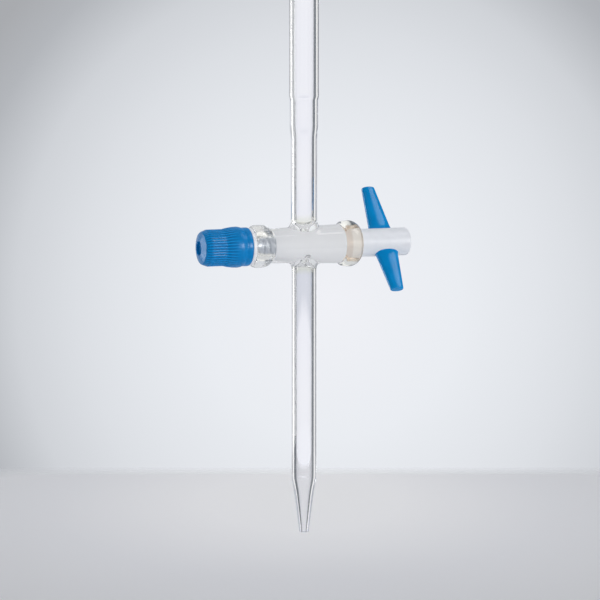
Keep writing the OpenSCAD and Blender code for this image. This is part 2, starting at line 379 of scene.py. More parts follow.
world = bpy.data.worlds.new("pale_sweep")
bpy.context.scene.world = world
world.use_nodes = True
sky = world.node_tree
sky.nodes.clear()
where = node(sky, "ShaderNodeTexCoord")
ray = (where, "Generated")
side = vectors(sky, "DOT_PRODUCT", ray, rightward)
depth = vectors(sky, "DOT_PRODUCT", ray, ahead)
split = node(sky, "ShaderNodeSeparateXYZ", {0: ray})
turn = maths(sky, "ARCTAN2", (side, "Value"), (depth, "Value"))
rise = maths(sky, "ARCSINE", (split, "Z"))
across = maths(sky, "SUBTRACT", turn, radians(POOL_RIGHT))
upward = maths(sky, "SUBTRACT", rise, radians(POOL_DOWN))
squashed = maths(sky, "MULTIPLY", upward, POOL_SQUASH)
apart = node(sky, "ShaderNodeCombineXYZ", {0: across, 1: squashed})
away = vectors(sky, "LENGTH", apart)
share = maths(sky, "DIVIDE", (away, "Value"), radians(POOL_REACH))
pool = ramp(
    sky,
    share,
    [(0.0, "F0F1F6"), (0.15, "EAEDF2"), (0.24, "E2E5EA"), (0.29, "DCDFE4"), (0.36, "D0D3D8")]
    + [(0.43, "B3B6BB"), (0.48, "A9ABAF"), (0.54, "A9ABAF"), (0.78, PALE), (1.0, PALE)],
)

# %% [markdown]
# Clear glass shows what stands round it. Light that goes straight through a tube's bore comes from
# behind the tube, so there the sweep is bright all round. Light that is thrown back inside the
# wall, by total reflection at the bore, comes from further round the room, where the dark cards
# stand. It draws the two grey lines that every glass tube has. The renderer counts that inner
# reflection as a glossy bounce, so the two kinds of light can be told apart, and the cards are kept
# from greying the middle of the tubes. What is thrown steeply down meets one plain grey, so that
# the cards don't show in tubes seen from above. Angles go clockwise from straight ahead of the main
# camera.

# %% Cards for glass and gloss
THROUGH = [(-180, "E4E6EA"), (-70, "E4E6EA"), (-48, "B4B8BE"), (-34, "F8F9FD")]
THROUGH += [(28, "F8F9FD"), (42, "B4B8BE"), (64, "E4E6EA"), (180, "E4E6EA")]
THROWN = [(-180, "BFC3C8"), (-150, "E4E6EA"), (-130, "9BA0A8"), (-110, "D8DADF")]
THROWN += [(-92, "777B82"), (-24, "60656C"), (-15, "FFFFFF"), (23, "FFFFFF"), (31, "74797F")]
THROWN += [(92, "84888F"), (110, "D8DADF"), (130, "9BA0A8"), (150, "E4E6EA"), (180, "BFC3C8")]
GLOSSY = [(-180, "2A2D31"), (-80, "2A2D31"), (-62, "F8FAFF"), (-30, "F8FAFF"), (-8, "B8BCC2")]
GLOSSY += [(16, "B8BCC2"), (30, "3C4046"), (80, "2A2D31"), (180, "2A2D31")]
BEHIND_LOW = -14.0
BEHIND_HIGH = 3.0
BEHIND = [(0.0, "F8F9FD"), (0.45, "FFFFFF"), (0.69, "FDFDFF"), (0.77, "E2E4E9"), (1.0, "E0E2E7")]
STEEP_FROM = -20.0
STEEP_TO = -24.0
STEEP_TONE = "D6D8DC"

compass = spread(sky, turn, -pi, pi)


def round_the_room(cards):
    """A ramp of the colours that stand round the room, by their angle."""
    return ramp(sky, compass, [((angle + 180) / 360, code) for angle, code in cards])


heights = spread(sky, rise, radians(BEHIND_LOW), radians(BEHIND_HIGH))
behind = ramp(sky, heights, BEHIND)
through = blend(sky, 1.0, behind, round_the_room(THROUGH), blend_type="MULTIPLY")
paths = node(sky, "ShaderNodeLightPath")
thrown_back = maths(sky, "GREATER_THAN", (paths, "Glossy Depth"), 0.5)
steepness = spread(sky, rise, radians(STEEP_FROM), radians(STEEP_TO))
thrown_light = blend(sky, steepness, round_the_room(THROWN), colour(STEEP_TONE))
in_glass = blend(sky, thrown_back, (through, 2), (thrown_light, 2))
glint = round_the_room(GLOSSY)
pictured = blend(sky, (paths, "Is Transmission Ray"), glint, (in_glass, 2))
mirrored = maths(sky, "MAXIMUM", (paths, "Is Glossy Ray"), (paths, "Is Transmission Ray"))
lit = blend(sky, mirrored, colour(PLAIN_LIGHT), (pictured, 2))
view = blend(sky, (paths, "Is Camera Ray"), (lit, 2), pool)
shown = maths(sky, "MAXIMUM", (paths, "Is Camera Ray"), mirrored)
level = spread(sky, shown, 0.0, 1.0, (LIGHT_LEVEL, 1.0))
sweep = node(sky, "ShaderNodeBackground", {"Color": (view, 2), "Strength": level})
show(sky, sweep, kind="ShaderNodeOutputWorld")
print(f"world: pool {POOL_REACH:.0f} degrees wide, {len(THROWN)} stops round the room")

# %% [markdown]
# ## Floor
# The stopcock hangs just clear of a pale table top. The table is a disc whose edge melts away. It
# reaches further towards the main camera, and behind the stopcock it ends in a straight soft line,
# so every side sees a soft horizon. It is clear from below, so that a low camera still sees the
# object. It is also clear to light that was thrown back inside the glass, so that the tubes keep
# their grey lines down to the tip. For all else it is a diffuse surface, and it keeps the shadow.
# Its colour is a painted pool of light: whitest round a spot behind the stopcock and greyer further
# off. Distances are from the table's own middle.

# %% Floor
FLOOR_DROP = 7.6
FLOOR_NEARER = 40
FLOOR_SOLID = 203
FLOOR_END = 221
FLOOR_FADE = 225
FLOOR_RADIUS = 262
LIT_BEHIND = 146
LIT_SQUASH = 1.7
LIT_REACH = 300


table_top = material("matt_white_table")
tree = table_top.node_tree
place = node(tree, "ShaderNodeTexCoord")
sideways = vectors(tree, "DOT_PRODUCT", (place, "Object"), rightward)
away = vectors(tree, "DOT_PRODUCT", (place, "Object"), ahead)
from_middle = vectors(tree, "LENGTH", (place, "Object"))
stretched = maths(tree, "MULTIPLY", (sideways, "Value"), LIT_SQUASH)
past = maths(tree, "SUBTRACT", (away, "Value"), LIT_BEHIND * MM)
from_lit = node(tree, "ShaderNodeCombineXYZ", {0: stretched, 1: past})
how_far = vectors(tree, "LENGTH", from_lit)
ranged = spread(tree, (how_far, "Value"), 0.0, LIT_REACH * MM)
# Painted pool of light: the table's colour is whitest round a spot behind the stopcock and greyer
# away from it.
tone = ramp(
    tree,
    ranged,
    [(0.0, "FFFFFF"), (0.2, "FEFEFF"), (0.5, "ECEDF0"), (0.8, "DFE0E2"), (1.0, "DDDEE0")],
)
rim = spread(tree, (from_middle, "Value"), FLOOR_FADE * MM, FLOOR_RADIUS * MM)
skyline = spread(tree, (away, "Value"), FLOOR_SOLID * MM, FLOOR_END * MM)
edge = maths(tree, "MAXIMUM", rim, skyline)
board = node(
    tree,
    "ShaderNodeBsdfPrincipled",
    {"Base Color": tone, "Roughness": 0.6, "Specular IOR Level": 0.2},
)
clear = node(tree, "ShaderNodeBsdfTransparent")
facing = node(tree, "ShaderNodeNewGeometry")
rays = node(tree, "ShaderNodeLightPath")
inner = maths(tree, "GREATER_THAN", (rays, "Glossy Depth"), 0.5)
thrown = maths(tree, "MULTIPLY", inner, (rays, "Is Transmission Ray"))
unseen = maths(tree, "MAXIMUM", thrown, (facing, "Backfacing"))
gone = maths(tree, "MAXIMUM", edge, unseen)
melted = node(tree, "ShaderNodeMixShader", {0: gone, 1: board, 2: clear})
show(tree, melted)

floor_z = KEY_Z + (glass_low[2] - FLOOR_DROP) * MM
bpy.ops.object.select_all(action="DESELECT")
bpy.ops.mesh.primitive_circle_add(vertices=96, radius=FLOOR_RADIUS * MM, fill_type="NGON")
floor = bpy.context.object
floor.name = "table_top"
floor.location = Vector((0, 0, floor_z)) - Vector(ahead) * FLOOR_NEARER * MM
cover(floor, table_top)
print(f"table {FLOOR_DROP} mm under the jet")

# %% [markdown]
# ## Lamps
# Three soft boxes light the surfaces and are kept out of the gloss, so that the blue keeps its full
# colour: a big one in front, one low in front and a weak one overhead. Three others are there for
# the gloss alone. One draws the streaks down the nut's ribs, one the long stripe down the handle's
# arms and one the sheen on the nut's end face. The one for the ribs is left out of mirror-smooth
# surfaces, so that no hard streak runs along the glass. Together with the plain world the first
# three light at about the level at which a colour renders as it is written. Each lamp's reach says
# whether it is in the gloss and whether mirror-smooth surfaces show it.

# %% Lamps
SURFACE = (False, True)
SATIN_GLOSS = (True, False)
ALL_GLOSS = (True, True)


def soft_box(name, azimuth, elevation, distance, size, power, reach):
    """A rectangular lamp at a bearing round the key, facing it. Azimuths are the camera's kind."""
    in_gloss, in_mirrors = reach
    turn_to = radians(azimuth)
    lift = radians(elevation)
    out = Vector((sin(turn_to) * cos(lift), -cos(turn_to) * cos(lift), sin(lift)))
    bpy.ops.object.light_add(type="AREA", location=Vector((0, 0, KEY_Z)) + out * distance)
    lamp = bpy.context.object
    lamp.name = name
    lamp.rotation_euler = out.to_track_quat("Z", "Y").to_euler()
    lamp.data.shape = "RECTANGLE"
    lamp.data.size, lamp.data.size_y = size
    lamp.data.energy = power
    lamp.data.cycles.use_multiple_importance_sampling = in_mirrors
    lamp.visible_glossy = in_gloss
    lamp.visible_diffuse = not in_gloss
    lamp.visible_transmission = False
    print(f"{name}: {power} W at {azimuth}, {elevation} degrees")


soft_box("box_front", 38, 4, 1.3, (1.0, 0.8), 6.2, SURFACE)
soft_box("box_low_front", 0, -35, 1.3, (1.0, 0.5), 5.3, SURFACE)
soft_box("box_far_overhead", 158, 58, 1.1, (1.0, 1.0), 2.9, SURFACE)
soft_box("streak_front_right", 25, 10, 1.0, (0.2, 0.3), 9.5, SATIN_GLOSS)
soft_box("streak_handle_side", 68, 51, 0.9, (0.42, 0.5), 2.1, ALL_GLOSS)
soft_box("streak_nut_side", -120, -3, 0.9, (0.7, 0.8), 13.0, ALL_GLOSS)

# %% [markdown]
# ## Borosilicate glass
# The body is borosilicate glass: colourless through a thin wall and faintly straw-green where it
# is thick, fire-polished, so its gloss is perfect and its form very slightly uneven, as drawn and
# blown glass is. The relieved bore under the nut is left as ground. The open mouth's thick bead is
# tinted a warm beige, with a painted highlight band across its middle; the tint is darker next to
# the key's cone and at the rim. Its index is 1.47. Lamps shine through it, because a renderer
# otherwise gives clear glass a black shadow. On the nut's side the light that passes is dimmed to
# a grey, which paints shade on the key's tail in the relieved bore. A ray that has been thrown
# back inside the wall many times is let out in a pale grey, because it would end in black where
# real glass still glows.

# %% Glass
GLASS_INDEX = 1.47
DRAW_LINES = 2.4
DRAWN_SHARE = 0.12
WAVE_DEPTH = 0.02
GROUND_R = 3.5
GROUND_TO = -10.9
GROUND_ROUGH = 0.25
RELIEF_SHADE = "DDE0E5"
MOUTH_FROM = 12.8
MOUTH_TO = 18.3
MOUTH_WALL_R = 6.0
STRAW_FROM = 6.0
STRAW_TO = 10.0
# The mouth's warm beige tint carries a painted highlight band across its middle; it is darker next
# to the key's cone and at the rim.
MOUTH_TINTS_AND_HIGHLIGHT = [(12.8, "E9CEB6"), (14.3, "E9CEB6"), (14.9, "FFEEDA"), (17.0, "FEECD6")]
MOUTH_TINTS_AND_HIGHLIGHT += [(17.5, "C8AD95"), (18.3, "C8AD95")]
MOST_BOUNCES = 7
MOST_THROWN = 3.5
WORN_OUT = "D0D2D6"

glass = material("fire_polished_borosilicate")
tree = glass.node_tree
place = node(tree, "ShaderNodeTexCoord")
drawn_out = {"Vector": (place, "Object"), "Scale": (1, 1, DRAWN_SHARE)}
stretch = node(tree, "ShaderNodeMapping", drawn_out)
waves = noise(tree, stretch, DRAW_LINES, 1.0)
uneven = bump(tree, waves, 0.12, WAVE_DEPTH)
spots = node(tree, "ShaderNodeSeparateXYZ", {0: (place, "Object")})
key_height = maths(tree, "SUBTRACT", (spots, "Z"), KEY_Z)
crosswise = node(tree, "ShaderNodeCombineXYZ", {0: (spots, "Y"), 1: key_height})
off_key = vectors(tree, "LENGTH", crosswise)
near_key = maths(tree, "LESS_THAN", (off_key, "Value"), GROUND_R * MM)
nut_side = maths(tree, "LESS_THAN", (spots, "X"), GROUND_TO * MM)
ground = maths(tree, "MULTIPLY", near_key, nut_side)
matt = maths(tree, "MULTIPLY", ground, GROUND_ROUGH)
along_key = spread(tree, (spots, "X"), MOUTH_FROM * MM, MOUTH_TO * MM)
mouth_tint_and_highlight = ramp(
    tree,
    along_key,
    [((x - MOUTH_FROM) / (MOUTH_TO - MOUTH_FROM), code) for x, code in MOUTH_TINTS_AND_HIGHLIGHT],
)
within = maths(tree, "LESS_THAN", (off_key, "Value"), MOUTH_WALL_R * MM)
handle_side = maths(tree, "GREATER_THAN", (spots, "X"), MOUTH_FROM * MM)
in_mouth = maths(tree, "MULTIPLY", within, handle_side)
far_off = spread(tree, (off_key, "Value"), STRAW_FROM * MM, STRAW_TO * MM)
straw = ramp(tree, far_off, [(0.0, "FCFCF8"), (0.5, "FBFBF5"), (1.0, "FEFEFF")])
tint = blend(tree, in_mouth, straw, mouth_tint_and_highlight)
look = {
    "Base Color": (tint, 2),
    "Roughness": matt,
    "IOR": GLASS_INDEX,
    "Specular IOR Level": 0.25,
    "Transmission Weight": 1.0,
    "Normal": uneven,
}
body = node(tree, "ShaderNodeBsdfPrincipled", look)
# Painted shade: on the nut's side the light let through the glass is dimmed to grey, which darkens
# the key's tail inside the relieved bore.
dimmed = blend(tree, nut_side, colour("FFFFFF"), colour(RELIEF_SHADE))
rays = node(tree, "ShaderNodeLightPath")
long_way = maths(tree, "GREATER_THAN", (rays, "Ray Depth"), MOST_BOUNCES)
often_thrown = maths(tree, "GREATER_THAN", (rays, "Glossy Depth"), MOST_THROWN)
trapped = maths(tree, "MAXIMUM", long_way, often_thrown)
let_by = blend(tree, often_thrown, (dimmed, 2), colour(WORN_OUT))
lets_light = node(tree, "ShaderNodeBsdfTransparent", {0: (let_by, 2)})
no_view = maths(tree, "MAXIMUM", (rays, "Is Shadow Ray"), (rays, "Is Diffuse Ray"))
passes = maths(tree, "MAXIMUM", no_view, trapped)
mixed = node(tree, "ShaderNodeMixShader", {0: passes, 1: body, 2: lets_light})
show(tree, mixed)

# %% [markdown]
# ## PTFE
# The key and the washer are turned from PTFE: very white, waxy, a soft gloss and the fine rings of
# the turning tool round the key's axis. Real rings are some 0.1 mm apart, drawn here at 0.35 mm so
# that they show. The cone is polished. Left of the cone's large end the PTFE is painted whiter than
# the head, as painted light that makes up for the light the glass takes from the cone.
# A wave texture turns its own factor of 20 into the rings' pitch.

# %% PTFE
RING_PITCH = 0.35
RING_DEPTH = 0.012
WAVE_FACTOR = 20
CLOUD_GRAIN = 3
WAX_ROUGH = (0.34, 0.42)
PAINTED_BRIGHTER_TO = 12.3
PAINTED_BRIGHTER_WHITE = "F9FAFD"

ptfe = material("turned_ptfe")
tree = ptfe.node_tree
place = node(tree, "ShaderNodeTexCoord")
rings = node(
    tree,
    "ShaderNodeTexWave",
    {
        "Vector": (place, "Object"),
        "Scale": 1 / (RING_PITCH * MM) / WAVE_FACTOR * 2 * pi,
        "Distortion": 0.6,
        "Detail": 2.0,
        "Detail Scale": 1.5,
    },
    bands_direction="X",
)
turning = bump(tree, rings, 0.35, RING_DEPTH)
cloudy = noise(tree, (place, "Object"), CLOUD_GRAIN, 3.0)
white = ramp(tree, cloudy, [(NOISE_LOW, "E9ECF1"), (NOISE_HIGH, "F0F3F8")])
spots = node(tree, "ShaderNodeSeparateXYZ", {0: (place, "Object")})
# Painted light: the PTFE on the nut's side of the cone's large end is painted whiter than the head,
# to make up for the light the glass takes from the cone.
brightened_side = maths(tree, "LESS_THAN", (spots, "X"), PAINTED_BRIGHTER_TO * MM)
shade = blend(tree, brightened_side, white, colour(PAINTED_BRIGHTER_WHITE))
wax = spread(tree, cloudy, NOISE_LOW, NOISE_HIGH, WAX_ROUGH)
look = {
    "Base Color": (shade, 2),
    "Roughness": wax,
    "IOR": 1.38,
    "Specular IOR Level": 0.35,
    "Normal": turning,
}
body = node(tree, "ShaderNodeBsdfPrincipled", look)
show(tree, body)

# %% [markdown]
# ## Blue moulded plastic
# The handle and the nut are injection-moulded polypropylene in one strong blue, nearly glossy.
# Moulded faces are a little uneven from shrinkage and carry the fine satin of the mould. The ribs
# of the nut carry painted light in two more shades of the blue: painted shade in the grooves and a
# painted highlight on the crests. They fade in where the ribs do.

# %% Blue plastic
MOULD_GRAIN = 0.25
GRAIN_DEPTH = 0.01
FLOW_GRAIN = 5
GROOVE_PAINTED_SHADE = "0068AA"
CREST_PAINTED_HIGHLIGHT = "0898E2"
RIBS = 40
RIB_FADE = (4.4, 7.4)
RIB_FOOT_R = 5.3


def rib_share(tree, place, rim_at):
    """How far up a rib a point of the grip is, 0 in the groove and 1 on the crest."""
    spots = node(tree, "ShaderNodeSeparateXYZ", {0: place})
    fall = maths(tree, "SUBTRACT", KEY_Z, (spots, "Z"))
    round_key = maths(tree, "ARCTAN2", (spots, "Y"), fall)
    phase = maths(tree, "MULTIPLY", round_key, RIBS)
    wave = maths(tree, "COSINE", phase)
    crest = spread(tree, wave, 1.0, -1.0)
    from_x, to_x = [(rim_at - along) * MM for along in RIB_FADE]
    on_grip = spread(tree, (spots, "X"), from_x, to_x)
    across = node(tree, "ShaderNodeCombineXYZ", {0: (spots, "Y"), 1: fall})
    off = vectors(tree, "LENGTH", across)
    outside = maths(tree, "GREATER_THAN", (off, "Value"), RIB_FOOT_R * MM)
    where_ribbed = maths(tree, "MULTIPLY", on_grip, outside)
    return crest, where_ribbed


def blue_plastic(name, light, dark, rough, gloss, rim_at=None):
    """Glossy moulded plastic in two close blues. A ribbed piece says where its rim is."""
    made = material(name)
    tree = made.node_tree
    place = node(tree, "ShaderNodeTexCoord")
    flow_marks = noise(tree, (place, "Object"), FLOW_GRAIN, 2.0)
    grain = noise(tree, (place, "Object"), MOULD_GRAIN, 2.0)
    tone = ramp(tree, flow_marks, [(0.35, dark), (0.65, light)])
    shade = tone
    if rim_at is not None:
        crest, where_ribbed = rib_share(tree, (place, "Object"), rim_at)
        # Painted shade in the ribs' grooves and a painted highlight on their crests.
        rib_shade_and_highlight = ramp(tree, crest, [(0.0, GROOVE_PAINTED_SHADE), (0.45, dark), (1.0, CREST_PAINTED_HIGHLIGHT)])
        shade = (blend(tree, where_ribbed, shade, rib_shade_and_highlight), 2)
    satin_bump = bump(tree, grain, 0.06, GRAIN_DEPTH)
    satin = spread(tree, flow_marks, NOISE_LOW, NOISE_HIGH, (rough, rough + 0.05))
    look = {
        "Base Color": shade,
        "Roughness": satin,
        "IOR": 1.5,
        "Specular IOR Level": gloss,
        "Normal": satin_bump,
    }
    body = node(tree, "ShaderNodeBsdfPrincipled", look)
    show(tree, body)
    return made


nut_blue = blue_plastic("moulded_blue_nut", "0088D0", "0080C6", 0.26, 0.14, nut_high[0])
handle_blue = blue_plastic("moulded_blue_handle", "0092D8", "008ACE", 0.12, 0.28)

# %% [markdown]
# ## Ring rubber
# The seal in the nut is dark fluoro rubber, satin and slightly mottled.

# %% Rubber
MOTTLE_GRAIN = 0.6
PORE_DEPTH = 0.02

rubber = material("seal_rubber")
tree = rubber.node_tree
place = node(tree, "ShaderNodeTexCoord")
mottle = noise(tree, (place, "Object"), MOTTLE_GRAIN, 4.0)
dark = ramp(tree, mottle, [(0.35, "3A2A22"), (0.65, "4A382E")])
pores = bump(tree, mottle, 0.25, PORE_DEPTH)
satin_skin = {"Base Color": dark, "Roughness": 0.5, "Normal": pores}
body = node(tree, "ShaderNodeBsdfPrincipled", satin_skin)
show(tree, body)
print("materials:", ", ".join(m.name for m in bpy.data.materials if m.use_nodes))

# %% [markdown]
# ## Outlines with soft curves
# Hot glass and moulded plastic have no corners, so an outline's few measured points are joined by
# a smooth curve that passes through all of them.

# %% Smooth outlines


def curve_through(points, per=6):
    """A smooth curve through the points, with a number of steps between each two."""
    knots = np.array([points[0], *points, points[-1]], float)
    made = []
    for before, start, end, after in zip(knots, knots[1:], knots[2:], knots[3:]):
        for t in np.linspace(0, 1, per, endpoint=False):
            pull = (
                2 * start
                + (end - before) * t
                + (2 * before - 5 * start + 4 * end - after) * t**2
                + (3 * start - before - 3 * end + after) * t**3
            )
            made.append(tuple(pull / 2))
    return made + [tuple(points[-1])]


def from_axis(outline):
    """The same outline, closed to the axis at both ends."""
    return [(0, outline[0][1]), *outline, (0, outline[-1][1])]


# %% [markdown]
# ## Glass body: the outlines
# The body is fused from three turned pieces: the tube above, the barrel across and the tube below.
# Each is given by its own outline. The barrel has a thick fire-polished bead at each end, and
# each tube ends in a ring of thicker glass where the flame joined it to the barrel.

# %% Glass outlines
INLET_R = 4.7
INLET_BORE_R = 3.15
LIP_ROUND = 0.4
SEAM_Z = 47.0
SEAM_SWELL = 0.1
STEM_R = 4.5
STEM_BORE_R = 2.85
NECK_Z = 36
NECK_HALF = 2.2
FOOT_R = 4.2
FOOT_BORE_R = 2.6
BARREL_R = 5.86
RING_PROUD = 0.5
RING_RISE = 2.0
PORT_R = 1.1
OUTLET_R = 4.0
OUTLET_BORE_R = 2.5
JET_Z = -75.5
JET_R = 1.55
JET_BORE_R = 0.6
SLEEVE = 22

top_z = glass_high[2]
tip_z = glass_low[2]
nut_end = glass_low[0]
mouth_end = glass_high[0]

barrel_outline = from_axis(
    [(5.3, nut_end)]
    + curve_through(
        [
            (5.6, nut_end), (6.1, nut_end + 0.12), (6.5, nut_end + 0.5),
            (6.75, nut_end + 1.2), (6.82, nut_end + 2.2), (6.78, nut_end + 3.6),
            (6.55, nut_end + 4.7), (6.1, nut_end + 5.5), (5.65, nut_end + 5.9),
            (5.5, nut_end + 6.4), (5.5, nut_end + 7.2),
        ]
    )
    + curve_through(
        [
            (6.22, mouth_end - 7.2), (6.3, mouth_end - 6.4), (6.5, mouth_end - 6.02),
            (6.95, mouth_end - 5.75), (7.2, mouth_end - 5.2), (7.34, mouth_end - 4.3),
            (7.42, mouth_end - 3.3), (7.32, mouth_end - 2.3), (7.0, mouth_end - 1.4),
            (6.5, mouth_end - 0.65), (6.0, mouth_end - 0.15), (5.75, mouth_end),
        ]
    )
    + [(5.6, mouth_end)]
)
inlet_outline = from_axis(
    [(FOOT_R, SLEEVE)]
    + flow((FOOT_R, BARREL_R + RING_RISE), (FOOT_R + RING_PROUD, BARREL_R - 0.4))
    + [(FOOT_R + RING_PROUD, 2.5)]
)
outlet_outline = from_axis(
    [(OUTLET_R + RING_PROUD, -2.5)]
    + flow((OUTLET_R + RING_PROUD, 0.4 - BARREL_R), (OUTLET_R, -BARREL_R - RING_RISE))
    + [(OUTLET_R, -SLEEVE)]
)
print(f"barrel outline: {len(barrel_outline)} points from {nut_end:.1f} to {mouth_end:.1f} mm")

# %% [markdown]
# ## Glass body: fusing the pieces
# Where the flame joins the tubes to the barrel, the glass runs together in a soft fillet. Cutting
# and uniting solids would leave a crease there, and a crease in clear glass shows as a hard line.
# So the three turned pieces are laid over each other and given one new skin by the Remesh
# modifier. The skin is then drawn onto the smooth union of the three outlines: each point
# moves along the slope of the distance to them until the distance is nothing.

# %% Fused block
SKIN = 0.3
FILLET = 1.2
LEAST_SLOPE = 0.2
CUT_Z = 12.5


def outline_distance(radius, along, outline):
    """Signed distance to a turned outline's surface, negative inside."""
    nearest = np.full(radius.shape, 1e9)
    inside = np.zeros(radius.shape, bool)
    closed = list(zip(outline, outline[1:] + outline[:1]))
    for (r0, a0), (r1, a1) in closed:
        if r0 == 0 and r1 == 0:
            continue
        dr, da = r1 - r0, a1 - a0
        t = np.clip(((radius - r0) * dr + (along - a0) * da) / (dr * dr + da * da), 0, 1)
        nearest = np.minimum(nearest, np.hypot(radius - r0 - t * dr, along - a0 - t * da))
        if a0 != a1:
            crosses = (a0 > along) != (a1 > along)
            inside ^= crosses & (radius < (along - a0) / (a1 - a0) * dr + r0)
    return np.where(inside, -nearest, nearest)


def melt(one, other, fillet):
    """Smooth union of two signed distances."""
    overlap = np.maximum(fillet - np.abs(one - other), 0) / fillet
    return np.minimum(one, other) - overlap**2 * fillet / 4


def glass_distance(p):
    """Signed distance to the fused outside of the glass, near the barrel."""
    upright = np.hypot(p[:, 0], p[:, 1])
    crosswise = np.hypot(p[:, 1], p[:, 2])
    barrel = outline_distance(crosswise, p[:, 0], barrel_outline)
    tubes = np.minimum(
        outline_distance(upright, p[:, 2], inlet_outline),
        outline_distance(upright, p[:, 2], outlet_outline),
    )
    return melt(barrel, tubes, FILLET)


def draw_onto(obj, distance, rounds=4, probe=0.004):
    """Moves the points of a mesh onto the surface where a signed distance is nothing."""
    p = points_of(obj)
    for _ in range(rounds):
        here = distance(p)
        slope = np.stack(
            [(distance(p + step) - here) / probe for step in np.eye(3) * probe], axis=1
        )
        slope /= np.maximum((slope**2).sum(axis=1), LEAST_SLOPE)[:, None]
        p = p - slope * here[:, None]
    move_points(obj, p)


barrel = turned("barrel", barrel_outline, BODY_SIDES)
lay_along_key(barrel)
inlet = turned("inlet", inlet_outline, BODY_SIDES)
outlet = turned("outlet", outlet_outline, BODY_SIDES)
bpy.ops.object.select_all(action="DESELECT")
for part in (inlet, outlet, barrel):
    part.select_set(True)
bpy.context.view_layer.objects.active = barrel
bpy.ops.object.join()
body_glass = bpy.context.object
body_glass.name = "borosilicate_body"
apply_modifier(body_glass, "REMESH", mode="VOXEL", voxel_size=SKIN)
draw_onto(body_glass, glass_distance)
print(f"fused block: {len(body_glass.data.polygons)} faces")

# %% [markdown]
# ## Glass body: drawing out the tubes
# The block's two stubs are cut off square and their open rims are extruded along the tubes, ring
# by ring. Each ring then takes the radius of the tube's outline at its height: the neck, the
# swollen seam and the polished lip above, the drawn jet below.

# %% Tubes
upper_line = (
    [(FOOT_R, CUT_Z), (FOOT_R, 20), (FOOT_R, 28)]
    + flow((FOOT_R, NECK_Z - NECK_HALF), (STEM_R, NECK_Z + NECK_HALF), 10)
    + [(STEM_R, 42)]
    + flow((STEM_R, SEAM_Z - 0.9), (INLET_R + SEAM_SWELL - 0.005, SEAM_Z + 0.7), 8)
    + flow((INLET_R + SEAM_SWELL, SEAM_Z + 0.9), (INLET_R, SEAM_Z + 3.0), 7)
    + [(INLET_R, 60), (INLET_R, 72)]
    + arc((INLET_R - LIP_ROUND, top_z - LIP_ROUND), LIP_ROUND, 0, 84, 6)
)
lower_line = (
    [(OUTLET_R, -CUT_Z), (OUTLET_R, -30), (OUTLET_R, -50), (OUTLET_R, JET_Z + 1.6)]
    + curve_through(
        [
            (OUTLET_R - 0.01, JET_Z + 1.2), (OUTLET_R - 0.09, JET_Z),
            (OUTLET_R - 0.42, JET_Z - 2), (OUTLET_R - 1.02, JET_Z - 6),
            (JET_R + 0.14, tip_z + 1.2),
        ],
        5,
    )
    + arc((JET_R - 0.2, tip_z + 0.25), 0.25, -8, -80, 4)
)


def draw_tube(obj, line, up):
    """Cuts a stub square and extrudes its rim along a tube's outline, then closes the end."""
    sign = 1 if up else -1
    mode("EDIT")
    bpy.ops.mesh.select_all(action="SELECT")
    bpy.ops.mesh.bisect(
        plane_co=(0, 0, sign * CUT_Z), plane_no=(0, 0, sign), clear_outer=True, use_fill=False
    )
    mode("OBJECT")
    select_points(obj, np.abs(points_of(obj)[:, 2] - sign * CUT_Z) < MERGE)
    for before, after in zip(line, line[1:]):
        rise = (0, 0, after[1] - before[1])
        bpy.ops.mesh.extrude_edges_move(TRANSFORM_OT_translate={"value": rise})
    bpy.ops.mesh.edge_face_add()
    mode("OBJECT")
    p = points_of(obj)
    drawn = p[:, 2] * sign >= CUT_Z - MERGE
    heights = sign * np.array([z for r, z in line])
    radii = np.array([r for r, z in line])
    now = np.hypot(p[drawn, 0], p[drawn, 1])
    wanted = np.interp(sign * p[drawn, 2], heights, radii)
    p[drawn, :2] *= (wanted / now)[:, None]
    move_points(obj, p)


draw_tube(body_glass, upper_line, up=True)
draw_tube(body_glass, lower_line, up=False)
mode("EDIT")
face_outward()
report(body_glass)

# %% [markdown]
# ## Glass body: bores and socket
# Inside are the two tubes' bores, which narrow to a 2.2 mm port through the barrel's wall, and the
# tapered socket that the key turns in. They are turned as tools and cut away by the Boolean
# modifier, which is what the reamer does.

# %% Bores and socket
PAST = 1.0
SOCKET_GAP = 0.03
SOCKET_SMALL_R = 3.0
SOCKET_SMALL_X = -11.2
SOCKET_LARGE_X = 13.2
MOUTH_STEP = 0.1
RELIEF_R = 3.1
CONE_RATIO = 10
FLOOR_Z = 4.9
FUNNEL = 2.0


def cone_r(x):
    return SOCKET_SMALL_R + (x - SOCKET_SMALL_X) / CONE_RATIO


inlet_tool = turned(
    "inlet_bore",
    from_axis(
        [(INLET_BORE_R + LIP_ROUND + 0.3, top_z + PAST)]
        + [(INLET_BORE_R + LIP_ROUND, top_z + 0.001)]
        + arc((INLET_BORE_R + LIP_ROUND, top_z - LIP_ROUND), LIP_ROUND, 96, 180, 6)
        + flow((INLET_BORE_R, SEAM_Z + 0.8), (STEM_BORE_R, SEAM_Z - 0.9), 8)
        + flow((STEM_BORE_R, NECK_Z + NECK_HALF), (FOOT_BORE_R, NECK_Z - NECK_HALF), 10)
        + flow((FOOT_BORE_R, FLOOR_Z + FUNNEL), (PORT_R, FLOOR_Z), 8)
        + [(PORT_R, 0)]
    ),
    BORE_SIDES,
)
outlet_tool = turned(
    "outlet_bore",
    from_axis(
        [(PORT_R, 0)]
        + flow((PORT_R, -FLOOR_Z), (OUTLET_BORE_R, -FLOOR_Z - FUNNEL), 8)
        + [(OUTLET_BORE_R, JET_Z + 1.6)]
        + curve_through(
            [
                (OUTLET_BORE_R - 0.02, JET_Z + 1.2), (OUTLET_BORE_R - 0.09, JET_Z),
                (OUTLET_BORE_R - 0.41, JET_Z - 2), (OUTLET_BORE_R - 0.96, JET_Z - 6),
                (JET_BORE_R, tip_z + 0.4),
            ],
            5,
        )
        + [(JET_BORE_R, tip_z - PAST)]
    ),
    BORE_SIDES,
)
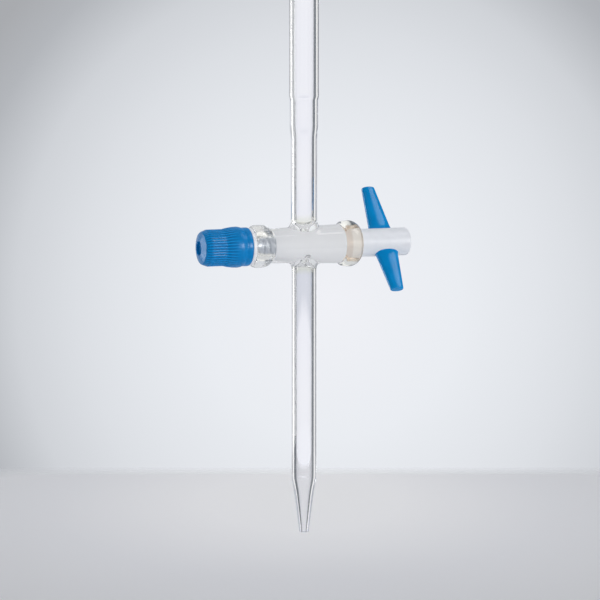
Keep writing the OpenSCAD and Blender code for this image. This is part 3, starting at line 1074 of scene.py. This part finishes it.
large_r = cone_r(SOCKET_LARGE_X) + SOCKET_GAP
socket_tool = turned(
    "socket",
    from_axis(
        [
            (RELIEF_R + 0.3, nut_end - PAST), (RELIEF_R + 0.3, nut_end),
            (RELIEF_R, nut_end + 0.3), (RELIEF_R, SOCKET_SMALL_X),
            (cone_r(SOCKET_SMALL_X) + SOCKET_GAP, SOCKET_SMALL_X + 0.05),
            (large_r, SOCKET_LARGE_X),
            (large_r + MOUTH_STEP, SOCKET_LARGE_X + 0.15),
            (large_r + MOUTH_STEP, mouth_end + PAST),
        ]
    ),
    KEY_SIDES,
)
lay_along_key(socket_tool)
for tool in (inlet_tool, outlet_tool, socket_tool):
    combine(body_glass, tool, "DIFFERENCE")
smooth(body_glass, 40)
to_metres(body_glass)
cover(body_glass, glass)
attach(body_glass, "glass")
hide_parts("glass_body")
report(body_glass)

# %% [markdown]
# ## Key
# The key is one turned piece of PTFE: the polished cone that seals in the socket, a plain round
# head on the handle's side and a threaded tail on the nut's side with a flat for the washer. A
# cross hole of 2 mm lets the liquid through when the handle points along the tubes. Pressed home,
# the soft cone wets the glass: no film of air is left, and the barrel looks white right out to its
# edge. So the cone here is a hundredth of a millimetre over the socket's size.

# %% Key outline
CONE_SMALL_R = 3.0
CONE_LARGE_X = 12.4
CONE_EDGE = 0.25
HEAD_R = 4.5
HEAD_ROUND = 0.7
TAIL_R = 2.6
THREAD_DEPTH = 0.45
THREAD_PITCH = 1.5
THREAD_FROM = -12.4
THREAD_RINGS = 9
GROOVE_PEAK = 1.5
GROOVE_FALL = 3.2
KEY_HOLE = 1.0
HOLE_REACH = 8
TAIL_FLAT = 2.0
HANDLE_TURN = radians(38)
WETTED = SOCKET_GAP + 0.01

tail_end = plug_low[0]
head_end = plug_high[0]
thread_count = round((THREAD_FROM - tail_end - 0.6) / THREAD_PITCH * THREAD_RINGS)
thread_xs = np.linspace(tail_end + 0.6, THREAD_FROM, thread_count)
key = turned(
    "ptfe_key",
    from_axis(
        [(TAIL_R - 0.6, tail_end), (TAIL_R - 0.45, tail_end + 0.1)]
        + [(TAIL_R, x) for x in thread_xs]
        + [(TAIL_R - 0.4, THREAD_FROM + 0.15), (TAIL_R - 0.4, SOCKET_SMALL_X - 0.05)]
        + [(CONE_SMALL_R - 0.2, SOCKET_SMALL_X)]
        + [(cone_r(SOCKET_SMALL_X + 0.2) + WETTED, SOCKET_SMALL_X + 0.2)]
        + [(cone_r(CONE_LARGE_X - CONE_EDGE) + WETTED, CONE_LARGE_X - CONE_EDGE)]
        + arc(
            (cone_r(CONE_LARGE_X) + WETTED - CONE_EDGE, CONE_LARGE_X - CONE_EDGE),
            CONE_EDGE,
            15,
            90,
            4,
        )
        + arc((HEAD_R + 0.3, CONE_LARGE_X + 0.3), 0.3, -90, -180, 3)
        + arc((HEAD_R - HEAD_ROUND, head_end - HEAD_ROUND), HEAD_ROUND, 0, 90, 6)
    ),
    KEY_SIDES,
)
lay_along_key(key)

# %% [markdown]
# A thread is a helix, so each point of the tail is drawn in by how far it is round the turn. The
# flat is planed off afterwards, as on the real key.

# %% Thread, flat and cross hole
p = points_of(key)
threaded = (p[:, 0] < THREAD_FROM) & (p[:, 0] > tail_end + 0.3)
threaded &= np.hypot(p[:, 1], p[:, 2]) > TAIL_R - 0.3
angle = np.arctan2(p[:, 2], p[:, 1])
phase = (p[:, 0] / THREAD_PITCH - angle / (2 * pi)) % 1
groove = np.clip(GROOVE_PEAK - GROOVE_FALL * np.abs(phase - 0.5) * 2, 0, 1)
runs_out = np.clip((THREAD_FROM - p[:, 0]) / THREAD_PITCH, 0, 1)
shrink = 1 - groove * runs_out * THREAD_DEPTH / TAIL_R
p[threaded, 1:] *= shrink[threaded, None]
flat_way = np.array([0, cos(HANDLE_TURN), -sin(HANDLE_TURN)])
over = p @ flat_way - TAIL_FLAT
planed = (over > 0) & (p[:, 0] < nut_end)
p[planed] -= over[planed, None] * flat_way
move_points(key, p)

hole_line = [(KEY_HOLE, -HOLE_REACH), (KEY_HOLE, HOLE_REACH)]
hole = turned("cross_hole", from_axis(hole_line), HOLE_SIDES)
hole.rotation_euler = (-HANDLE_TURN, 0, 0)
settle(hole)
combine(key, hole, "DIFFERENCE")
smooth(key, 35)
to_metres(key)
cover(key, ptfe)
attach(key, "key")
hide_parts("plug")
report(key)

# %% [markdown]
# ## Washer and ring
# Between the nut and the glass sits a turned PTFE washer. Its hole has a flat like the tail's, so
# it turns with the key. Inside the nut's rim a rubber ring presses on it and keeps the key drawn
# into its socket.

# %% Washer and ring
WASHER_EDGE = 0.15

washer_r = washer_high[1]
bore = TAIL_R + 0.08
edge_r = washer_r - WASHER_EDGE
washer = turned(
    "ptfe_washer",
    [(bore, washer_low[0] + 0.1), (bore + 0.1, washer_low[0])]
    + arc((edge_r, washer_low[0] + WASHER_EDGE), WASHER_EDGE, -90, 0, 4)
    + arc((edge_r, washer_high[0] - WASHER_EDGE), WASHER_EDGE, 0, 90, 4)
    + [(bore + 0.1, washer_high[0]), (bore, washer_high[0] - 0.1)],
    KEY_SIDES,
    closed=True,
)
lay_along_key(washer)
p = points_of(washer)
over = p @ flat_way - TAIL_FLAT - 0.08
inner = (over > 0) & (np.hypot(p[:, 1], p[:, 2]) < bore + 0.2)
p[inner] -= over[inner, None] * flat_way
move_points(washer, p)
smooth(washer, 40)
to_metres(washer)
cover(washer, ptfe)
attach(washer, "key")
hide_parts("washer")
report(washer)

cord_r = (ring_high[0] - ring_low[0]) / 2
ring_mid = ring_high[2] - cord_r
ring = turned(
    "seal_ring",
    arc((ring_mid, (ring_low[0] + ring_high[0]) / 2), cord_r, 0, 337.5, 15),
    BODY_SIDES,
    closed=True,
)
lay_along_key(ring)
only(ring)
bpy.ops.object.shade_smooth()
to_metres(ring)
cover(ring, rubber)
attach(ring, "seal")
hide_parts("o_ring")
report(ring)

# %% [markdown]
# ## Cap nut: the outline
# The nut is moulded: a smooth collar at its rim, a swelling that gives the fingers a stop, a long
# ribbed grip and a domed face with a dimple left by the mould. Its outline is drawn from the rim
# to the face, and then back through the bore and the ring's pocket.

# %% Nut outline
COLLAR_R = 6.15
COLLAR_LEN = 1.6
SWELL_R = 6.5
GRIP_FROM = 8.6
GRIP_R = 5.68
RIB_HEIGHT = 0.17
STEPS_A_RIB = 10
FACE_R = 5.1
DIMPLE_R = 2.15
FACE_DOME = 0.75
DIMPLE_DEPTH = 0.3
NUT_BORE_LEN = 13.2
NUT_BORE_R = 2.68
POCKET_R = 4.58
POCKET_LEN = 1.85

rim_x = nut_high[0]
nut_len = nut_high[0] - nut_low[0]
grip = [(GRIP_R, s) for s in np.linspace(GRIP_FROM, nut_len - 2.0, 10)]
nut_line = (
    [(POCKET_R + 0.2, 0)]
    + [(COLLAR_R - 0.4, 0)]
    + arc((COLLAR_R - 0.4, 0.4), 0.4, -80, -5, 4)
    + [(COLLAR_R, 1.0)]
    + curve_through(
        [
            (COLLAR_R, COLLAR_LEN), (COLLAR_R - 0.04, COLLAR_LEN + 0.4),
            (COLLAR_R + 0.08, COLLAR_LEN + 0.9), (SWELL_R - 0.07, COLLAR_LEN + 1.6),
            (SWELL_R, COLLAR_LEN + 2.4), (SWELL_R - 0.1, COLLAR_LEN + 3.7),
            (SWELL_R - 0.36, COLLAR_LEN + 4.9), (GRIP_R + 0.24, COLLAR_LEN + 6.0),
            (GRIP_R, GRIP_FROM),
        ],
        3,
    )
    + grip[1:]
    + [(GRIP_R - 0.02, nut_len - 1.7), (GRIP_R - 0.09, nut_len - 1.3)]
    + [(GRIP_R - 0.24, nut_len - 0.8), (GRIP_R - 0.44, nut_len - 0.35)]
    + [(FACE_R - 0.02, nut_len - 0.16), (FACE_R - 0.16, nut_len - 0.03), (FACE_R - 0.34, nut_len)]
    + [(FACE_R - 0.62, nut_len + 0.04), (FACE_R - 0.8, nut_len + 0.1)]
    + [(DIMPLE_R + 0.7, nut_len + FACE_DOME - 0.1)]
    + arc((DIMPLE_R + 0.3, nut_len + FACE_DOME - 0.3), 0.3, 60, 180, 5)
    + arc((DIMPLE_R - 0.3, nut_len - DIMPLE_DEPTH + 0.3), 0.3, 0, -90, 4)
    + [(0, nut_len - DIMPLE_DEPTH)]
)
nut_inside = [
    (0, NUT_BORE_LEN), (NUT_BORE_R, NUT_BORE_LEN), (NUT_BORE_R, POCKET_LEN + 0.3),
    (NUT_BORE_R + 0.3, POCKET_LEN), (POCKET_R, POCKET_LEN), (POCKET_R, 0.2),
]
nut_whole = nut_inside + nut_line
nut = turned("blue_cap_nut", [(r, -s) for r, s in nut_whole], RIBS * STEPS_A_RIB)
report(nut)

# %% [markdown]
# ## Cap nut: the ribs
# Forty fine ribs run along the grip, swell with it and fade out on the crest of the swelling, and
# at the other end they stop short of the face. Each point of the grip is moved out by the
# height of the rib at its angle, and the ribs' ends are eased.

# %% Ribs
RIB_END = (nut_len - 2.0, nut_len - 1.2)

p = points_of(nut)
radius = np.hypot(p[:, 0], p[:, 1])
along = -p[:, 2]
turn_by = np.arctan2(p[:, 1], p[:, 0]) * RIBS / (2 * pi)
rounded = np.abs(np.sin(pi * turn_by))
rises = np.clip((along - RIB_FADE[0]) / (RIB_FADE[1] - RIB_FADE[0]), 0, 1)
ends = np.clip((RIB_END[1] - along) / (RIB_END[1] - RIB_END[0]), 0, 1)
eased = rises * rises * (3 - 2 * rises) * ends * ends * (3 - 2 * ends)
ribbed = radius > FACE_R + 0.2
factor = 1 + rounded * eased * RIB_HEIGHT / np.maximum(radius, 1)
p[ribbed, :2] *= factor[ribbed, None]
move_points(nut, p)
lay_along_key(nut)
nut.location = (rim_x, 0, 0)
settle(nut)
smooth(nut, 75)
to_metres(nut)
cover(nut, nut_blue)
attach(nut, "nut")
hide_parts("cap_nut")
report(nut)

# %% [markdown]
# ## Handle
# The T handle is one moulding that grips through the key's head. Its two arms are flattened ovals
# that taper towards blunt, rounded tips, the upper arm a little longer. Each arm starts as an
# oval in the head and is extruded level by level, and each level takes the width and thickness of
# the arm at its height.

# %% Handle
ARM_ROOT = (7.6, 3.6)
ARM_TIP = (4.4, 2.6)
ARM_START = 3.2
TIP_ROUND = 0.4
ARM_SIDES = 72
OVAL_POWER = 2.2
HANDLE_X = 27.6
HANDLE_LEN = 39.2
HANDLE_OFFSET = 1.4
ROOT_FLARE = 0.35
FLARE_REACH = 0.6
LEVELS = 34
TIP_SWEEP = radians(84)
TIP_LEVELS = 8
CORE_R = 1.2
CORE_OVER = 0.4


def arm(name, length, sign):
    """One arm along +Z or -Z from inside the head."""
    bpy.ops.object.select_all(action="DESELECT")
    bpy.ops.mesh.primitive_circle_add(vertices=ARM_SIDES, radius=1, fill_type="NGON")
    obj = bpy.context.object
    obj.name = name
    heights = list(np.linspace(ARM_START, length - TIP_ROUND, LEVELS))
    sweep = np.linspace(0, TIP_SWEEP, TIP_LEVELS)[1:]
    heights += [length - TIP_ROUND + TIP_ROUND * sin(a) for a in sweep]
    heights.append(length)
    mode("EDIT")
    bpy.ops.mesh.select_all(action="SELECT")
    bpy.ops.transform.translate(value=(0, 0, heights[0]))
    for before, after in zip(heights, heights[1:]):
        rise = (0, 0, after - before)
        bpy.ops.mesh.extrude_region_move(TRANSFORM_OT_translate={"value": rise})
    mode("OBJECT")
    p = points_of(obj)
    z = p[:, 2]
    share = np.clip((z - HEAD_R) / (length - HEAD_R), 0, 1)
    near = ROOT_FLARE * np.exp(-np.clip(z - HEAD_R + 0.3, 0, None) / FLARE_REACH)
    past_tip = np.clip((z - length + TIP_ROUND) / TIP_ROUND, 0, 1)
    round_off = TIP_ROUND * (1 - np.sqrt(np.clip(1 - past_tip**2, 0, 1))) * 0.75
    wide = (ARM_ROOT[0] + (ARM_TIP[0] - ARM_ROOT[0]) * share) / 2 + near - round_off
    thick = (ARM_ROOT[1] + (ARM_TIP[1] - ARM_ROOT[1]) * share) / 2 + near - round_off
    angle = np.arctan2(p[:, 1], p[:, 0])
    c, s = np.cos(angle), np.sin(angle)
    p[:, 0] = np.sign(c) * np.abs(c) ** (2 / OVAL_POWER) * wide
    p[:, 1] = np.sign(s) * np.abs(s) ** (2 / OVAL_POWER) * thick
    p[:, 2] *= sign
    move_points(obj, p)
    mode("EDIT")
    face_outward()
    return obj


handle = arm("blue_handle", HANDLE_LEN / 2 + HANDLE_OFFSET, 1)
lower_arm = arm("lower_arm", HANDLE_LEN / 2 - HANDLE_OFFSET, -1)
core_end = ARM_START + CORE_OVER
core = turned("core", from_axis([(CORE_R, -core_end), (CORE_R, core_end)]), CORE_SIDES)
combine(handle, core, "UNION")
combine(handle, lower_arm, "UNION")
handle.rotation_euler = (-HANDLE_TURN, 0, 0)
handle.location = (HANDLE_X, 0, 0)
settle(handle)
smooth(handle, 40)
to_metres(handle)
cover(handle, handle_blue)
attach(handle, "key")
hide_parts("handle")
report(handle)
